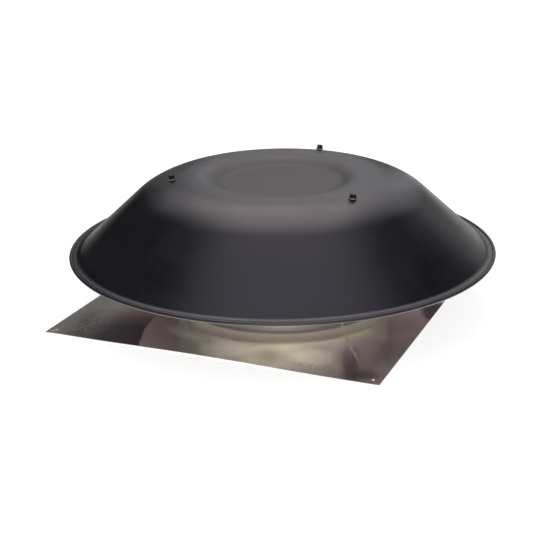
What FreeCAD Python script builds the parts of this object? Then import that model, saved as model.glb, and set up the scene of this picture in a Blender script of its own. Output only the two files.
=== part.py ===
import FreeCAD, Part
import math
import os
import Sketcher

# Static roof vent: a spun dome hood on three strap legs over a flashing sheet with a drawn throat.
# Origin: the axis of the dome and throat, at the underside of the flashing. +Z is up.
# The square sheet's sides run along X and Y. Lengths are in mm and angles in degrees.

# Driving dimensions
SIZES = {
    # dome hood, measured on the top face of its sheet
    "dome_radius": 306.5,
    "dome_gauge": 0.8,
    "rim_height": 78.5,
    "bead_diameter": 4.8,
    "flange_lift": 1.2,
    "flange_width": 9.7,
    "skirt_slope": 42.5,
    "crest_rise": 107.9,
    "crest_radius": 107.3,
    "crest_width": 13.8,
    "dish_depth": 12.3,
    "dish_slope": 27.5,
    "dish_shoulder": 61.3,
    # flashing sheet and its drawn throat
    "flashing_side": 482.6,
    "flashing_gauge": 0.8,
    "flashing_shift_x": 11.6,
    "flashing_shift_y": 4.8,
    "nail_hole_diameter": 3.6,
    "nail_hole_inset": 12.0,
    "throat_radius": 152.4,
    "foot_rise": 8.0,
    "foot_margin": 8.0,
    "collar_height": 100.0,
    "lip_width": 6.0,
    # strap legs
    "leg_count": 3,
    "first_leg_azimuth": 90.0,
    "leg_width": 25.4,
    "leg_gauge": 1.6,
    "leg_foot_drop": 64.0,
    "knee_rise": 6.0,
    "knee_radius": 12.0,
    "tab_bend": 3.2,
    "tab_reach": 13.0,
    "tab_tail": 11.0,
    "tab_clearance": 0.15,
    # screws, sealing washers and nuts on the crest
    "screw_offset": 19.1,
    "screw_diameter": 4.8,
    "screw_length": 12.7,
    "screw_clearance": 0.2,
    "thread_clearance": 0.05,
    "head_flats": 8.0,
    "head_height": 4.6,
    "head_chamfer": 0.7,
    "head_flange_diameter": 10.4,
    "head_flange_gauge": 0.9,
    "washer_diameter": 11.4,
    "washer_gauge": 1.6,
    "nut_flats": 9.5,
    "nut_height": 4.0,
    # rivets
    "rivet_diameter": 4.0,
    "rivet_clearance": 0.1,
    "rivet_head_diameter": 8.0,
    "rivet_head_top": 5.0,
    "rivet_head_height": 1.6,
    "rivet_tail_diameter": 6.0,
    "rivet_tail_height": 2.4,
    "lower_rivet_margin": 12.0,
    "upper_rivet_drop": 16.0,
    # screen, the hoop that carries it and the split ring that holds it down
    "screen_drop": 26.0,
    "hoop_gauge": 1.2,
    "hoop_height": 17.0,
    "shelf_width": 11.0,
    "wire_size": 1.0,
    "wire_pitch": 12.7,
    "wire_end_clearance": 1.6,
    "ring_width": 5.0,
    "ring_gauge": 1.6,
    "ring_gap": 12.0,
    "ring_clearance": 0.2,
}

# Sizes that follow from the driving ones. Radii are from the dome's axis, heights from the underside.
FORMULAS = {
    "bead_radius": "dims.bead_diameter / 2",
    "bead_centre": "dims.dome_radius - bead_radius",
    "flange_top": "dims.rim_height + dims.flange_lift",
    "crest_top": "dims.rim_height + dims.crest_rise",
    "dish_floor": "crest_top - dims.dish_depth",
    "bead_corner": "bead_radius / cos(22.5)",
    "skirt_foot": "bead_centre - dims.flange_width",
    "skirt_head": "skirt_foot - (crest_top - flange_top) / tan(dims.skirt_slope)",
    "crest_outer": "skirt_head - dims.crest_radius * tan(dims.skirt_slope / 2)",
    "crest_inner": "crest_outer - dims.crest_width",
    "dish_brow": "crest_inner - dims.dish_shoulder * tan(dims.dish_slope / 2)",
    "dish_edge": "dish_brow - dims.dish_depth / tan(dims.dish_slope)",
    "screw_tilt": "asin(dims.screw_offset / dims.crest_radius) / 1 deg",
    "screw_radius": "crest_outer + dims.screw_offset",
    "screw_seat": "crest_top - dims.crest_radius * (1 - cos(screw_tilt))",
    "screw_hole_radius": "dims.screw_diameter / 2 + dims.screw_clearance",
    "crest_under": "dims.crest_radius - dims.dome_gauge",
    "tab_sag": "crest_under - sqrt(crest_under ^ 2 - dims.tab_reach ^ 2)",
    "tab_depth": "dims.dome_gauge + tab_sag + dims.tab_clearance",
    "tab_radius": "screw_radius - tab_depth * sin(screw_tilt)",
    "tab_height": "screw_seat - tab_depth * cos(screw_tilt)",
    "tab_root_radius": "tab_radius - dims.tab_reach * cos(screw_tilt)",
    "tab_root_height": "tab_height + dims.tab_reach * sin(screw_tilt)",
    "tab_end_radius": "tab_radius + dims.tab_tail * cos(screw_tilt)",
    "tab_end_height": "tab_height - dims.tab_tail * sin(screw_tilt)",
    "tab_bend_outer": "dims.tab_bend + dims.leg_gauge",
    "knee_height": "dims.collar_height + dims.knee_rise",
    "tab_drill_length": "4 * dims.leg_gauge",
    "leg_bottom": "dims.collar_height - dims.leg_foot_drop",
    "lower_rivet_height": "leg_bottom + dims.lower_rivet_margin",
    "upper_rivet_height": "dims.collar_height - dims.upper_rivet_drop",
    "thread_radius": "dims.screw_diameter / 2 + dims.thread_clearance",
    "head_corner": "dims.head_flats / 2 / cos(30)",
    "head_foot": "dims.washer_gauge + dims.head_flange_gauge",
    "chamfer_foot": "head_foot + dims.head_height - dims.head_chamfer",
    "nut_corner": "dims.nut_flats / 2 / cos(30)",
    "nut_bottom": "0 - tab_depth - dims.leg_gauge - dims.nut_height",
    "collar_outer": "dims.throat_radius + dims.flashing_gauge",
    "foot_edge": "collar_outer + dims.foot_rise",
    "foot_top": "dims.flashing_gauge + dims.foot_rise",
    "blank_opening": "foot_edge + dims.foot_margin",
    "lip_radius": "collar_outer - dims.lip_width",
    "sheet_right": "dims.flashing_side / 2 - dims.flashing_shift_x",
    "sheet_back": "dims.flashing_side / 2 - dims.flashing_shift_y",
    "nail_hole_radius": "dims.nail_hole_diameter / 2",
    "rivet_hole_radius": "dims.rivet_diameter / 2 + dims.rivet_clearance",
    "leg_rivet_seat": "collar_outer + dims.leg_gauge",
    "screen_height": "dims.collar_height - dims.screen_drop",
    "shelf_under": "screen_height - dims.hoop_gauge",
    "hoop_top": "shelf_under + dims.hoop_height",
    "shelf_radius": "dims.throat_radius - dims.shelf_width",
    "hoop_inner": "dims.throat_radius - dims.hoop_gauge",
    "mesh_radius": "hoop_inner - dims.wire_end_clearance",
    "ring_outer": "hoop_inner - dims.ring_clearance",
    "ring_inner": "ring_outer - dims.ring_width",
    "ring_bottom": "screen_height + 2 * dims.wire_size",
    "ring_top": "ring_bottom + dims.ring_gauge",
}

doc = FreeCAD.newDocument("static_roof_vent")


def make_sheet(name, cells):
    sheet = doc.addObject("Spreadsheet::Sheet", name)
    for row, (alias, content) in enumerate(cells.items(), start=1):
        sheet.set("A%d" % row, alias)
        sheet.set("B%d" % row, content)
        sheet.setAlias("B%d" % row, alias)
    doc.recompute()
    return sheet


dims = make_sheet("dims", {alias: repr(size) for alias, size in SIZES.items()})
derived = make_sheet("derived", {alias: "=" + formula for alias, formula in FORMULAS.items()})


def ref(alias):
    """The expression that reads a named size from its sheet."""
    return ("dims." if alias in SIZES else "derived.") + alias


def value(alias):
    """A named size as a plain number."""
    sheet = dims if alias in SIZES else derived
    return float(sheet.get(alias))


# Sketch helpers. Every size in a sketch is a constraint bound to a named size.

def new_sketch(body, name, plane):
    sketch = body.newObject("Sketcher::SketchObject", name)
    for feature in body.Origin.OriginFeatures:
        if feature.Role == plane:
            sketch.AttachmentSupport = [(feature, "")]
    sketch.MapMode = "FlatFace"
    return sketch


def bind(sketch, kind, refs, alias):
    """A dimension constraint whose value follows a named size."""
    index = sketch.addConstraint(Sketcher.Constraint(kind, *refs, value(alias)))
    sketch.setExpression("Constraints[%d]" % index, ref(alias))


def rule(sketch, kind, *refs):
    """A geometric constraint, such as Tangent or Horizontal."""
    sketch.addConstraint(Sketcher.Constraint(kind, *refs))


def sketch_line(sketch, start, end):
    return sketch.addGeometry(Part.LineSegment(start, end))


# How a sketch numbers its own axes, and the points of a line or an arc.
HORIZONTAL_AXIS, VERTICAL_AXIS = -1, -2
START, END, CENTRE = range(1, 4)
ORIGIN = (HORIZONTAL_AXIS, START)


def pin_point(sketch, geometry, point, x_alias, y_alias):
    """Places a point at two named distances from the sketch's origin."""
    if x_alias is None:
        rule(sketch, "PointOnObject", geometry, point, VERTICAL_AXIS)
    else:
        bind(sketch, "DistanceX", ORIGIN + (geometry, point), x_alias)
    bind(sketch, "DistanceY", ORIGIN + (geometry, point), y_alias)


def corner_point(corner):
    x_alias, y_alias = corner
    x = 0.0 if x_alias is None else value(x_alias)
    return FreeCAD.Vector(x, value(y_alias), 0)


def sheet_face(corners, bends, shift):
    """Points and bends of one face of a bent sheet, moved sideways from the given corners.

    Returns the straight stretches as point pairs and each bend as its centre, radius, ends and turn,
    or as None where the corner is sharp.
    """
    points = [corner_point(corner) for corner in corners]
    headings = [(b - a).normalize() for a, b in zip(points, points[1:])]
    normals = [FreeCAD.Vector(-d.y, d.x, 0) for d in headings]
    starts = [points[0] + normals[0] * shift]
    ends = []
    arcs = []
    for i, alias in enumerate(bends):
        before, after = headings[i], headings[i + 1]
        if alias is None:
            mitre = (normals[i] + normals[i + 1]) / (1 + normals[i].dot(normals[i + 1]))
            ends.append(points[i + 1] + mitre * shift)
            starts.append(ends[-1])
            arcs.append(None)
            continue
        angle = math.atan2(before.x * after.y - before.y * after.x, before.dot(after))
        turn = 1 if angle > 0 else -1
        setback = value(alias) * math.tan(abs(angle) / 2)
        entry = points[i + 1] - before * setback
        leave = points[i + 1] + after * setback
        centre = entry + normals[i] * turn * value(alias)
        radius = value(alias) - turn * shift
        entry = entry + normals[i] * shift
        leave = leave + normals[i + 1] * shift
        ends.append(entry)
        starts.append(leave)
        arcs.append((centre, radius, entry, leave, turn))
    ends.append(points[-1] + normals[-1] * shift)
    return list(zip(starts, ends)), arcs


def draw_face(sketch, lines, arcs):
    """Draws one face as lines joined by tangent arcs or corners, and returns their numbers."""
    line_ids = [sketch_line(sketch, a, b) for a, b in lines]
    arc_ids = []
    for i, bend in enumerate(arcs):
        if bend is None:
            rule(sketch, "Coincident", line_ids[i], END, line_ids[i + 1], START)
            arc_ids.append(None)
            continue
        centre, radius, entry, leave, turn = bend
        first, last = (entry, leave) if turn > 0 else (leave, entry)
        circle = Part.Circle(centre, FreeCAD.Vector(0, 0, 1), radius)
        start = math.atan2(first.y - centre.y, first.x - centre.x)
        stop = math.atan2(last.y - centre.y, last.x - centre.x)
        if stop < start:
            stop += 2 * math.pi
        arc = sketch.addGeometry(Part.ArcOfCircle(circle, start, stop))
        entry_end, leave_end = (START, END) if turn > 0 else (END, START)
        rule(sketch, "Tangent", line_ids[i], END, arc, entry_end)
        rule(sketch, "Tangent", arc, leave_end, line_ids[i + 1], START)
        arc_ids.append(arc)
    return line_ids, arc_ids


def draw_bent_sheet(sketch, corners, bends, gauge, side):
    """Section of a sheet of one gauge that is bent along a line of corners.

    The corners are on one face, and each inner corner is rounded by its bend, or sharp where the
    bend is None. The other face lies one gauge to the left (side 1) or to the right (side -1) of the
    way from first to last corner.
    """
    lines, arcs = draw_face(sketch, *sheet_face(corners, bends, 0.0))
    other_lines, other_arcs = draw_face(sketch, *sheet_face(corners, bends, side * value(gauge)))
    pin_point(sketch, lines[0], START, *corners[0])
    pin_point(sketch, lines[-1], END, *corners[-1])
    for i, (corner, bend) in enumerate(zip(corners[1:-1], bends)):
        if bend is None:
            pin_point(sketch, lines[i], END, *corner)
            bind(sketch, "Distance", (other_lines[i + 1], START, lines[i + 1]), gauge)
            continue
        mark = sketch.addGeometry(Part.Point(corner_point(corner)), True)
        pin_point(sketch, mark, START, *corner)
        rule(sketch, "PointOnObject", mark, START, lines[i])
        rule(sketch, "PointOnObject", mark, START, lines[i + 1])
        bind(sketch, "Radius", (arcs[i],), bend)
        rule(sketch, "Coincident", other_arcs[i], CENTRE, arcs[i], CENTRE)
    for line, other in zip(lines, other_lines):
        rule(sketch, "Parallel", line, other)
    start = sketch.Geometry[lines[0]].StartPoint
    other_start = sketch.Geometry[other_lines[0]].StartPoint
    stop = sketch.Geometry[lines[-1]].EndPoint
    other_stop = sketch.Geometry[other_lines[-1]].EndPoint
    first_cap = sketch_line(sketch, start, other_start)
    rule(sketch, "Coincident", first_cap, START, lines[0], START)
    rule(sketch, "Coincident", first_cap, END, other_lines[0], START)
    rule(sketch, "Perpendicular", first_cap, lines[0])
    bind(sketch, "Distance", (first_cap,), gauge)
    last_cap = sketch_line(sketch, stop, other_stop)
    rule(sketch, "Coincident", last_cap, START, lines[-1], END)
    rule(sketch, "Coincident", last_cap, END, other_lines[-1], END)
    rule(sketch, "Perpendicular", last_cap, lines[-1])


def draw_circle(sketch, x_alias, y_alias, radius_alias):
    centre = FreeCAD.Vector(0, 0, 0)
    if x_alias is not None:
        centre.x = value(x_alias)
    if y_alias is not None:
        centre.y = value(y_alias)
    circle = sketch.addGeometry(Part.Circle(centre, FreeCAD.Vector(0, 0, 1), value(radius_alias)))
    bind(sketch, "Radius", (circle,), radius_alias)
    if x_alias is None and y_alias is None:
        rule(sketch, "Coincident", circle, CENTRE, *ORIGIN)
    else:
        pin_point(sketch, circle, CENTRE, x_alias, y_alias)
    return circle


def draw_octagon(sketch, x_alias, y_alias, corner_alias):
    """A regular octagon with its first side upright, on a circle through its corners."""
    circle = draw_circle(sketch, x_alias, y_alias, corner_alias)
    sketch.setConstruction(circle, True)
    centre = corner_point((x_alias, y_alias))
    turns = [math.radians(22.5 + 45 * i) for i in range(-1, 7)]
    rim = [FreeCAD.Vector(math.cos(turn), math.sin(turn), 0) * value(corner_alias) for turn in turns]
    sides = [sketch_line(sketch, centre + rim[i], centre + rim[(i + 1) % 8]) for i in range(8)]
    for i, side in enumerate(sides):
        rule(sketch, "Coincident", side, END, sides[(i + 1) % 8], START)
        rule(sketch, "PointOnObject", side, START, circle)
        if i > 0:
            rule(sketch, "Equal", sides[0], side)
    rule(sketch, "Vertical", sides[0])


def draw_rectangle(sketch, left, right, bottom, top):
    """A rectangle between two named distances along each axis of the sketch."""
    low = FreeCAD.Vector(value(left), value(bottom), 0)
    high = FreeCAD.Vector(value(right), value(top), 0)
    corners = [low, FreeCAD.Vector(high.x, low.y, 0), high, FreeCAD.Vector(low.x, high.y, 0)]
    sides = [sketch_line(sketch, corners[i], corners[(i + 1) % 4]) for i in range(4)]
    for i, side in enumerate(sides):
        rule(sketch, "Coincident", side, END, sides[(i + 1) % 4], START)
        rule(sketch, "Vertical" if i % 2 else "Horizontal", side)
    pin_point(sketch, sides[0], START, left, bottom)
    pin_point(sketch, sides[2], START, right, top)


# Feature helpers

def new_body(name):
    body = doc.addObject("PartDesign::Body", name)
    body.Label = name
    return body


def revolve(body, sketch, kind="PartDesign::Revolution"):
    """Turns a sketch all the way round the upright axis of its body."""
    turned = body.newObject(kind, sketch.Name + "_turned")
    turned.Profile = sketch
    turned.ReferenceAxis = (sketch, ["V_Axis"])
    turned.Angle = 360
    doc.recompute()
    return turned


def polar(body, feature, count_expression):
    """Repeats a cut evenly round the upright axis of its body."""
    pattern = body.newObject("PartDesign::PolarPattern", feature.Name + "_round")
    pattern.Originals = [feature]
    pattern.Axis = (axis_of(body, "Z_Axis"), [""])
    pattern.Angle = 360
    pattern.setExpression("Occurrences", count_expression)
    body.Tip = pattern
    doc.recompute()
    return pattern


def axis_of(body, role):
    return next(feature for feature in body.Origin.OriginFeatures if feature.Role == role)


def must_cut(before, body, what):
    """Stops the build if a cut removed nothing."""
    doc.recompute()
    if not body.Shape.Volume < before - 1e-3:
        raise RuntimeError(what + " cut nothing")


def stand(feature, radius, azimuth, height, tilt):
    """Places a piece at a radius and height round the axis, its own Z tilted outwards.

    Each argument is an expression, so that the piece follows the sheets.
    """
    text = (
        "create(<<placement>>; create(<<vector>>; ({r}) * cos({a}); ({r}) * sin({a}); {z}); "
        "create(<<rotation>>; {a}; {t}; 0))"
    )
    feature.setExpression("Placement", text.format(r=radius, a=azimuth, z=height, t=tilt))


def leg_azimuth(number):
    return "(dims.first_leg_azimuth + %d * 360 / dims.leg_count)" % number


LEG_PLACES = ["back", "left", "right"]


def place_name(number):
    return LEG_PLACES[number] if number < len(LEG_PLACES) else str(number + 1)


# Dome hood: one spun sheet. Floor of the dish, ramp, crest, skirt and flange, then the rolled rim.

def make_dome():
    body = new_body("dome")
    section = new_sketch(body, "dome_section", "XZ_Plane")
    corners = [
        (None, "dish_floor"),
        ("dish_edge", "dish_floor"),
        ("dish_brow", "crest_top"),
        ("skirt_head", "crest_top"),
        ("skirt_foot", "flange_top"),
        ("bead_centre", "flange_top"),
    ]
    bends = [None, "dish_shoulder", "crest_radius", None]
    draw_bent_sheet(section, corners, bends, "dome_gauge", -1)
    revolve(body, section)
    rim = new_sketch(body, "dome_rim", "XZ_Plane")
    draw_octagon(rim, "bead_centre", "rim_height", "bead_corner")
    revolve(body, rim)
    blank = body.Shape
    bore = drill_square(
        body, "dome_screw_bore", "derived.screw_radius", "derived.screw_seat",
        ref("screw_length"), ref("first_leg_azimuth"))
    polar(body, bore, "dims.leg_count")
    plugs = blank.cut(body.Shape)
    if len(plugs.Solids) != int(value("leg_count")):
        raise RuntimeError("the crest has %d screw holes" % len(plugs.Solids))
    return body


def drill_square(body, name, radius, height, length, azimuth):
    """A screw hole square to the crest, its middle at a radius, height and azimuth."""
    hole = body.newObject("PartDesign::SubtractiveCylinder", name)
    hole.setExpression("Radius", ref("screw_hole_radius"))
    hole.setExpression("Height", length)
    foot_radius = "(%s - %s / 2 * sin(derived.screw_tilt))" % (radius, length)
    foot_height = "%s - %s / 2 * cos(derived.screw_tilt)" % (height, length)
    stand(hole, foot_radius, azimuth, foot_height, "derived.screw_tilt")
    doc.recompute()
    return hole


# Flashing: a square blank with its throat drawn up into a collar that ends in a turned-in lip.

def make_flashing():
    body = new_body("flashing")
    blank = new_sketch(body, "flashing_blank", "XY_Plane")
    side = value("flashing_side")
    right, back = value("sheet_right"), value("sheet_back")
    left, front = right - side, back - side
    corners = [(left, front), (right, front), (right, back), (left, back)]
    points = [FreeCAD.Vector(x, y, 0) for x, y in corners]
    edges = [sketch_line(blank, points[i], points[(i + 1) % 4]) for i in range(4)]
    for i, edge in enumerate(edges):
        rule(blank, "Coincident", edge, END, edges[(i + 1) % 4], START)
        rule(blank, "Vertical" if i % 2 else "Horizontal", edge)
    bind(blank, "Distance", (edges[0],), "flashing_side")
    bind(blank, "Distance", (edges[1],), "flashing_side")
    pin_point(blank, edges[2], START, "sheet_right", "sheet_back")
    draw_circle(blank, None, None, "blank_opening")
    inset = value("nail_hole_inset")
    for i, (x, y) in enumerate(corners):
        x_way = 1 if x < 0 else -1
        y_way = 1 if y < 0 else -1
        centre = FreeCAD.Vector(x + x_way * inset, y + y_way * inset, 0)
        circle = Part.Circle(centre, FreeCAD.Vector(0, 0, 1), value("nail_hole_radius"))
        hole = blank.addGeometry(circle)
        bind(blank, "Radius", (hole,), "nail_hole_radius")
        for kind, way in (("DistanceX", x_way), ("DistanceY", y_way)):
            pair = (edges[i], START, hole, CENTRE) if way > 0 else (hole, CENTRE, edges[i], START)
            bind(blank, kind, pair, "nail_hole_inset")
    sheet = body.newObject("PartDesign::Pad", "flashing_sheet")
    sheet.Profile = blank
    sheet.setExpression("Length", ref("flashing_gauge"))
    doc.recompute()
    collar = new_sketch(body, "collar_section", "XZ_Plane")
    path = [
        ("blank_opening", "flashing_gauge"),
        ("foot_edge", "flashing_gauge"),
        ("collar_outer", "foot_top"),
        ("collar_outer", "collar_height"),
        ("lip_radius", "collar_height"),
    ]
    draw_bent_sheet(collar, path, [None, None, None], "flashing_gauge", 1)
    revolve(body, collar)
    lower = radial_holes(body, "lower_rivet_holes", "lower_rivet_height", one_side=True)
    polar(body, lower, "dims.leg_count")
    upper = radial_holes(body, "upper_rivet_holes", "upper_rivet_height", one_side=False)
    polar(body, upper, "dims.leg_count")
    return body


def radial_holes(body, name, height, one_side):
    """Rivet holes through a round wall, on the side of the first leg or on both sides."""
    before = body.Shape.Volume
    sketch = new_sketch(body, name + "_sketch", "XZ_Plane")
    draw_circle(sketch, None, height, "rivet_hole_radius")
    holes = body.newObject("PartDesign::Pocket", name)
    holes.Profile = sketch
    if one_side:
        holes.setExpression("Length", "derived.collar_outer + dims.leg_gauge")
    else:
        holes.Midplane = True
        holes.setExpression("Length", "2 * (derived.collar_outer + dims.leg_gauge)")
    must_cut(before, body, name)
    return holes


# Legs: strap bent at the knee and at the tab. The strap stands on the collar and the tab lies under
# the crest, square to the screw.

def make_leg(number):
    body = new_body("leg_" + place_name(number))
    section = new_sketch(body, body.Name + "_section", "XZ_Plane")
    corners = [
        ("collar_outer", "leg_bottom"),
        ("collar_outer", "knee_height"),
        ("tab_root_radius", "tab_root_height"),
        ("tab_end_radius", "tab_end_height"),
    ]
    draw_bent_sheet(section, corners, ["knee_radius", "tab_bend_outer"], "leg_gauge", -1)
    strap = body.newObject("PartDesign::Pad", body.Name + "_strap")
    strap.Profile = section
    strap.Midplane = True
    strap.setExpression("Length", ref("leg_width"))
    doc.recompute()
    before = body.Shape.Volume
    drill_square(
        body, body.Name + "_screw_hole", "derived.tab_radius", "derived.tab_height",
        ref("tab_drill_length"), "0")
    must_cut(before, body, body.Name + " screw hole")
    rivets = new_sketch(body, body.Name + "_rivet_sketch", "YZ_Plane")
    draw_circle(rivets, None, "lower_rivet_height", "rivet_hole_radius")
    draw_circle(rivets, None, "upper_rivet_height", "rivet_hole_radius")
    before = body.Shape.Volume
    holes = body.newObject("PartDesign::Pocket", body.Name + "_rivet_holes")
    holes.Profile = rivets
    holes.Midplane = True
    holes.setExpression("Length", "2 * (derived.leg_rivet_seat + dims.leg_gauge)")
    must_cut(before, body, body.Name + " rivet holes")
    stand(body, "0", leg_azimuth(number), "0", "0")
    return body


# Fasteners on the crest. Each is drawn along its own Z with the dome's top face at zero.

def add_solid(body, kind, name, sizes, height):
    """A PartDesign primitive with bound sizes, its foot at a height expression."""
    solid = body.newObject("PartDesign::" + kind, body.Name + "_" + name)
    for size, expression in sizes.items():
        solid.setExpression(size, expression)
    solid.setExpression("Placement.Base.z", height)
    doc.recompute()
    return solid


def stand_on_crest(body, number):
    stand(body, "derived.screw_radius", leg_azimuth(number), "derived.screw_seat", "derived.screw_tilt")


def make_screw(number):
    body = new_body("dome_screw_" + place_name(number))
    shank = {"Radius": "dims.screw_diameter / 2", "Height": "dims.screw_length"}
    add_solid(body, "AdditiveCylinder", "shank", shank, "dims.washer_gauge - dims.screw_length")
    flange = {"Radius": "dims.head_flange_diameter / 2", "Height": "dims.head_flange_gauge"}
    add_solid(body, "AdditiveCylinder", "flange", flange, "dims.washer_gauge")
    head = {"Circumradius": ref("head_corner"), "Height": "dims.head_height"}
    prism = add_solid(body, "AdditivePrism", "hex", head, ref("head_foot"))
    prism.Polygon = 6
    doc.recompute()
    # The corners of the hex are turned off by a cone, as on a real head.
    before = body.Shape.Volume
    collar = {
        "Radius1": "derived.head_corner + dims.head_chamfer",
        "Radius2": "derived.head_corner - dims.head_chamfer",
        "Height": "dims.head_chamfer",
    }
    block = {"Radius": "dims.head_flats", "Height": "dims.head_chamfer"}
    turned = doc.addObject("PartDesign::Body", body.Name + "_turning")
    add_solid(turned, "AdditiveCylinder", "block", block, ref("chamfer_foot"))
    add_solid(turned, "SubtractiveCone", "cone", collar, ref("chamfer_foot"))
    cut = body.newObject("PartDesign::Boolean", body.Name + "_chamfer")
    cut.Type = "Cut"
    cut.Group = [turned]
    must_cut(before, body, body.Name + " chamfer")
    stand_on_crest(body, number)
    return body


def make_washer(number):
    body = new_body("sealing_washer_" + place_name(number))
    disc = {"Radius": "dims.washer_diameter / 2", "Height": "dims.washer_gauge"}
    add_solid(body, "AdditiveCylinder", "disc", disc, "0")
    before = body.Shape.Volume
    eye = {"Radius": ref("thread_radius"), "Height": "2 * dims.washer_gauge"}
    add_solid(body, "SubtractiveCylinder", "eye", eye, "-dims.washer_gauge / 2")
    must_cut(before, body, body.Name + " eye")
    stand_on_crest(body, number)
    return body


def make_nut(number):
    body = new_body("nut_" + place_name(number))
    block = {"Circumradius": ref("nut_corner"), "Height": "dims.nut_height"}
    prism = add_solid(body, "AdditivePrism", "block", block, ref("nut_bottom"))
    prism.Polygon = 6
    doc.recompute()
    before = body.Shape.Volume
    thread = {"Radius": ref("thread_radius"), "Height": "2 * dims.nut_height"}
    add_solid(body, "SubtractiveCylinder", "thread", thread, "derived.nut_bottom - dims.nut_height / 2")
    must_cut(before, body, body.Name + " thread")
    stand_on_crest(body, number)
    return body


# Rivets: a tapered head, a shank and the set tail. Z points outwards and zero is under the head.

def make_rivet(name, azimuth, seat, height, grip):
    body = doc.addObject("PartDesign::Body", name)
    head = {
        "Radius1": "dims.rivet_head_diameter / 2",
        "Radius2": "dims.rivet_head_top / 2",
        "Height": "dims.rivet_head_height",
    }
    add_solid(body, "AdditiveCone", "head", head, "0")
    reach = "(" + grip + " + dims.rivet_clearance)"
    shank = {"Radius": "dims.rivet_diameter / 2", "Height": reach}
    add_solid(body, "AdditiveCylinder", "shank", shank, "-" + reach)
    tail = {"Radius": "dims.rivet_tail_diameter / 2", "Height": "dims.rivet_tail_height"}
    add_solid(body, "AdditiveCylinder", "tail", tail, "-" + reach + " - dims.rivet_tail_height")
    stand(body, seat, azimuth, height, "90")
    return body


def make_rivets(name, azimuths, seat, height, grip):
    group = doc.addObject("Part::Compound", name)
    group.Label = name
    rivets = []
    for number, azimuth in enumerate(azimuths, start=1):
        rivets.append(make_rivet("%s_%d" % (name, number), azimuth, seat, height, grip))
    group.Links = rivets
    return group


# Screen: a hoop with a shelf, welded wire mesh on the shelf and a split ring that holds it down.

def make_hoop():
    body = new_body("screen_hoop")
    section = new_sketch(body, "hoop_section", "XZ_Plane")
    corners = [
        ("throat_radius", "hoop_top"),
        ("throat_radius", "shelf_under"),
        ("shelf_radius", "shelf_under"),
    ]
    draw_bent_sheet(section, corners, [None], "hoop_gauge", -1)
    revolve(body, section)
    holes = radial_holes(body, "hoop_rivet_holes", "upper_rivet_height", one_side=False)
    polar(body, holes, "dims.leg_count")
    return body


def make_ring():
    body = new_body("screen_ring")
    section = new_sketch(body, "ring_section", "XZ_Plane")
    draw_rectangle(section, "ring_inner", "ring_outer", "ring_bottom", "ring_top")
    revolve(body, section)
    before = body.Shape.Volume
    gap = body.newObject("PartDesign::SubtractiveBox", "ring_split")
    gap.setExpression("Length", "2 * dims.ring_width")
    gap.setExpression("Width", ref("ring_gap"))
    gap.setExpression("Height", "3 * dims.ring_gauge")
    gap.setExpression("Placement.Base.x", "derived.ring_inner - dims.ring_width / 2")
    gap.setExpression("Placement.Base.y", "-dims.ring_gap / 2")
    gap.setExpression("Placement.Base.z", "derived.ring_bottom - dims.ring_gauge")
    must_cut(before, body, "split of the ring")
    return body


def make_mesh():
    """Two crossed layers of wire, each wire cut to the chord of the round screen."""
    group = doc.addObject("Part::Compound", "bird_screen")
    group.Label = "bird_screen"
    half_count = int(value("mesh_radius") / value("wire_pitch"))
    wires = []
    for layer, (along, across) in enumerate((("x", "y"), ("y", "x"))):
        for step in range(-half_count, half_count + 1):
            wire = doc.addObject("Part::Box", "wire_%s_%d" % (along, step + half_count + 1))
            chord = "2 * sqrt(derived.mesh_radius ^ 2 - (%d * dims.wire_pitch) ^ 2)" % step
            wire.setExpression("Length" if along == "x" else "Width", chord)
            wire.setExpression("Width" if along == "x" else "Length", ref("wire_size"))
            wire.setExpression("Height", ref("wire_size"))
            wire.setExpression("Placement.Base." + along, "-(%s) / 2" % chord)
            side = "(%d) * dims.wire_pitch - dims.wire_size / 2" % step
            wire.setExpression("Placement.Base." + across, side)
            wire.setExpression("Placement.Base.z", "derived.screen_height + %d * dims.wire_size" % layer)
            wires.append(wire)
    group.Links = wires
    return group


# The whole vent

def make_vent():
    legs = range(int(value("leg_count")))
    at_legs = [leg_azimuth(number) for number in legs]
    between = ["(%s + 180 / dims.leg_count)" % azimuth for azimuth in at_legs]
    strap_grip = "dims.leg_gauge + dims.flashing_gauge"
    nodes = [make_flashing(), make_dome(), make_hoop(), make_mesh(), make_ring()]
    nodes += [make_leg(number) for number in legs]
    nodes += [make_screw(number) for number in legs]
    nodes += [make_washer(number) for number in legs]
    nodes += [make_nut(number) for number in legs]
    nodes.append(make_rivets(
        "lower_leg_rivets", at_legs, ref("leg_rivet_seat"), ref("lower_rivet_height"), strap_grip))
    nodes.append(make_rivets(
        "upper_leg_rivets", at_legs, ref("leg_rivet_seat"), ref("upper_rivet_height"),
        strap_grip + " + dims.hoop_gauge"))
    nodes.append(make_rivets(
        "hoop_rivets", between, ref("collar_outer"), ref("upper_rivet_height"),
        "dims.flashing_gauge + dims.hoop_gauge"))
    doc.recompute()
    return nodes


def check_document(nodes):
    for item in doc.Objects:
        if "Invalid" in item.State or "Error" in item.State:
            raise RuntimeError("%s failed: %s" % (item.Name, item.State))
    for node in nodes:
        if node.Shape.isNull() or not node.Shape.isValid():
            raise RuntimeError(node.Label + " has no valid shape")


vent = make_vent()
check_document(vent)
os.makedirs("parts", exist_ok=True)
for node in vent:
    node.Shape.exportStep(os.path.join("parts", node.Label + ".step"))
    box = node.Shape.BoundBox
    print("%-22s solids %2d  volume %10.1f  z %.2f to %.2f" % (
        node.Label, len(node.Shape.Solids), node.Shape.Volume, box.ZMin, box.ZMax))
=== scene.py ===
# %% [markdown]
# # A static roof vent
# A static vent lets warm air out of an attic. A black spun hood stands on three straps over a bare
# aluminium flashing, whose middle is drawn up into a round throat. The CAD model is loaded as a
# frame that never moves, and gives the sizes and places. This lesson gives the pieces their rounded
# sheet edges, rolled rim and real finishes.

import math

import bmesh
import bpy
from mathutils import Euler, Matrix, Vector


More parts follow.
